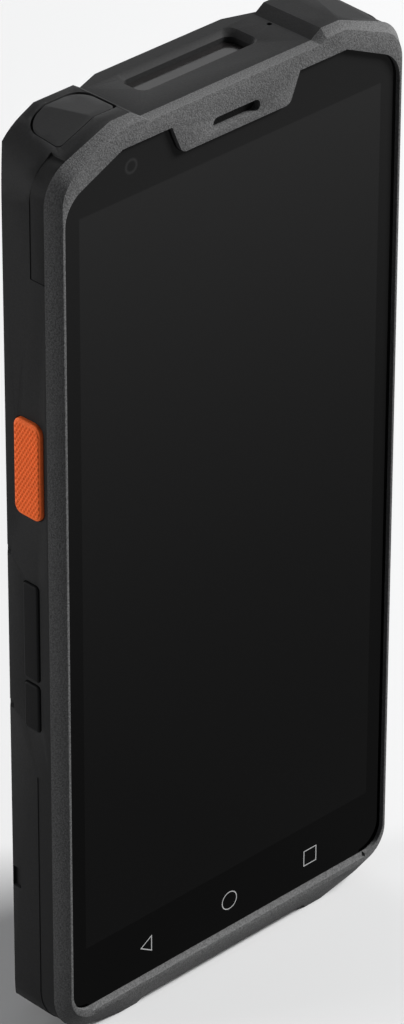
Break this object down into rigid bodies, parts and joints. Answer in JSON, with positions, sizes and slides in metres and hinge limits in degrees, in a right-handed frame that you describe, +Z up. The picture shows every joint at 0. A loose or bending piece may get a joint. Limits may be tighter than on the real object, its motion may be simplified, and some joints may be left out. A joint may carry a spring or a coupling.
{
  "type": "portable barcode data terminal",
  "caption": "Upright handheld data terminal: glass front in a raised frame, scan window on top, side keys, rubber socket cover and a lift-off battery cover.",
  "frame": {"origin": "middle of the base, halfway between the front face and the raised back", "axes": "+X to the right seen from the front, +Y from the glass to the back, +Z up along the length"},
  "size_m": [0.0748, 0.0166, 0.1592],
  "materials": {
    "frame": "fine satin",
    "housing": "matte, fine grain",
    "cover_glass": "polished",
    "adhesive": "matte",
    "display": "glossy, dark when off",
    "light_alloy": "satin",
    "steel": "satin",
    "shield": "satin",
    "mesh": "woven",
    "seal": "matte",
    "flap": "matte",
    "battery": "coated",
    "flex": "glossy",
    "connector": "moulded",
    "board": "lacquered",
    "engine": "black anodised",
    "lens": "polished",
    "lamp": "clear red",
    "window": "polished, dark red",
    "orange_key": "satin",
    "key": "satin",
    "module": "moulded",
    "antenna": "plated",
    "ring": "anodised",
    "diffuser": "moulded",
    "lamp_yellow": "moulded"
  },
  "bodies": {
    "terminal": {"front_frame": "frame", "cover_glass": "cover_glass", "glass_adhesive": "adhesive", "display_panel": "display", "midframe": "light_alloy", "housing_screws": "steel", "board_screws": "steel", "frame_screws": "steel", "rear_housing": "housing", "housing_seal": "seal", "battery_pack": "battery", "battery_connector": "connector", "main_board": "board", "sub_board": "board", "processor_shield": "shield", "radio_shield": "shield", "card_socket": "shield", "board_link_flex": "flex", "display_flex": "flex", "scan_engine_body": "engine", "scan_engine_lens": "lens", "scan_engine_lamp": "lamp", "scan_engine_bracket": "shield", "scan_engine_flex": "flex", "scan_window": "window", "scan_window_seal": "seal", "left_key_board": "board", "right_key_board": "board", "left_key_domes": "steel", "right_key_domes": "steel", "earpiece_mesh": "mesh", "earpiece_receiver": "module", "front_camera": "module", "top_microphone": "shield", "audio_jack": "module", "wireless_antenna": "antenna", "rear_camera": "module", "rear_camera_ring": "ring", "rear_camera_window": "lens", "flash_window": "diffuser", "flash_lamp": "lamp_yellow", "usb_receptacle": "shield", "bottom_microphone": "shield", "loudspeaker_mesh": "mesh", "loudspeaker": "module", "vibration_motor": "steel", "cellular_antenna": "antenna"},
    "left_scan_key": {"scan_key_left": "orange_key"},
    "right_scan_key": {"scan_key_right": "orange_key"},
    "volume_key": {"volume_rocker": "key"},
    "function_button": {"function_key": "key"},
    "power_button": {"power_key": "key"},
    "headphone_cover": {"jack_cover": "flap"},
    "rear_cover": {"battery_cover": "housing", "contactless_coil": "flex"}
  },
  "joints": [
    {"name": "left_scan_press", "type": "slide", "parent": "terminal", "child": "left_scan_key", "axis": [1, 0, 0], "range_m": [0, 0.0005], "stiffness_N_per_m": 3000},
    {"name": "right_scan_press", "type": "slide", "parent": "terminal", "child": "right_scan_key", "axis": [-1, 0, 0], "range_m": [0, 0.0005], "stiffness_N_per_m": 3000},
    {"name": "function_press", "type": "slide", "parent": "terminal", "child": "function_button", "axis": [1, 0, 0], "range_m": [0, 0.0005], "stiffness_N_per_m": 3000},
    {"name": "power_press", "type": "slide", "parent": "terminal", "child": "power_button", "axis": [-1, 0, 0], "range_m": [0, 0.0005], "stiffness_N_per_m": 3000},
    {"name": "volume_rock", "type": "hinge", "parent": "terminal", "child": "volume_key", "pos_m": [-0.03415, -0.00235, 0.0761], "axis": [0, 1, 0], "range_deg": [-1.5, 1.5], "stiffness_Nm_per_rad": 0.4},
    {"name": "headphone_cover_hinge", "type": "hinge", "parent": "terminal", "child": "headphone_cover", "pos_m": [-0.0312, 0.0003, 0.1572], "axis": [0, -1, 0], "range_deg": [0, 120]},
    {"name": "rear_cover_lift", "type": "slide", "parent": "terminal", "child": "rear_cover", "axis": [0, 1, 0], "range_m": [0, 0.025]}
  ]
}
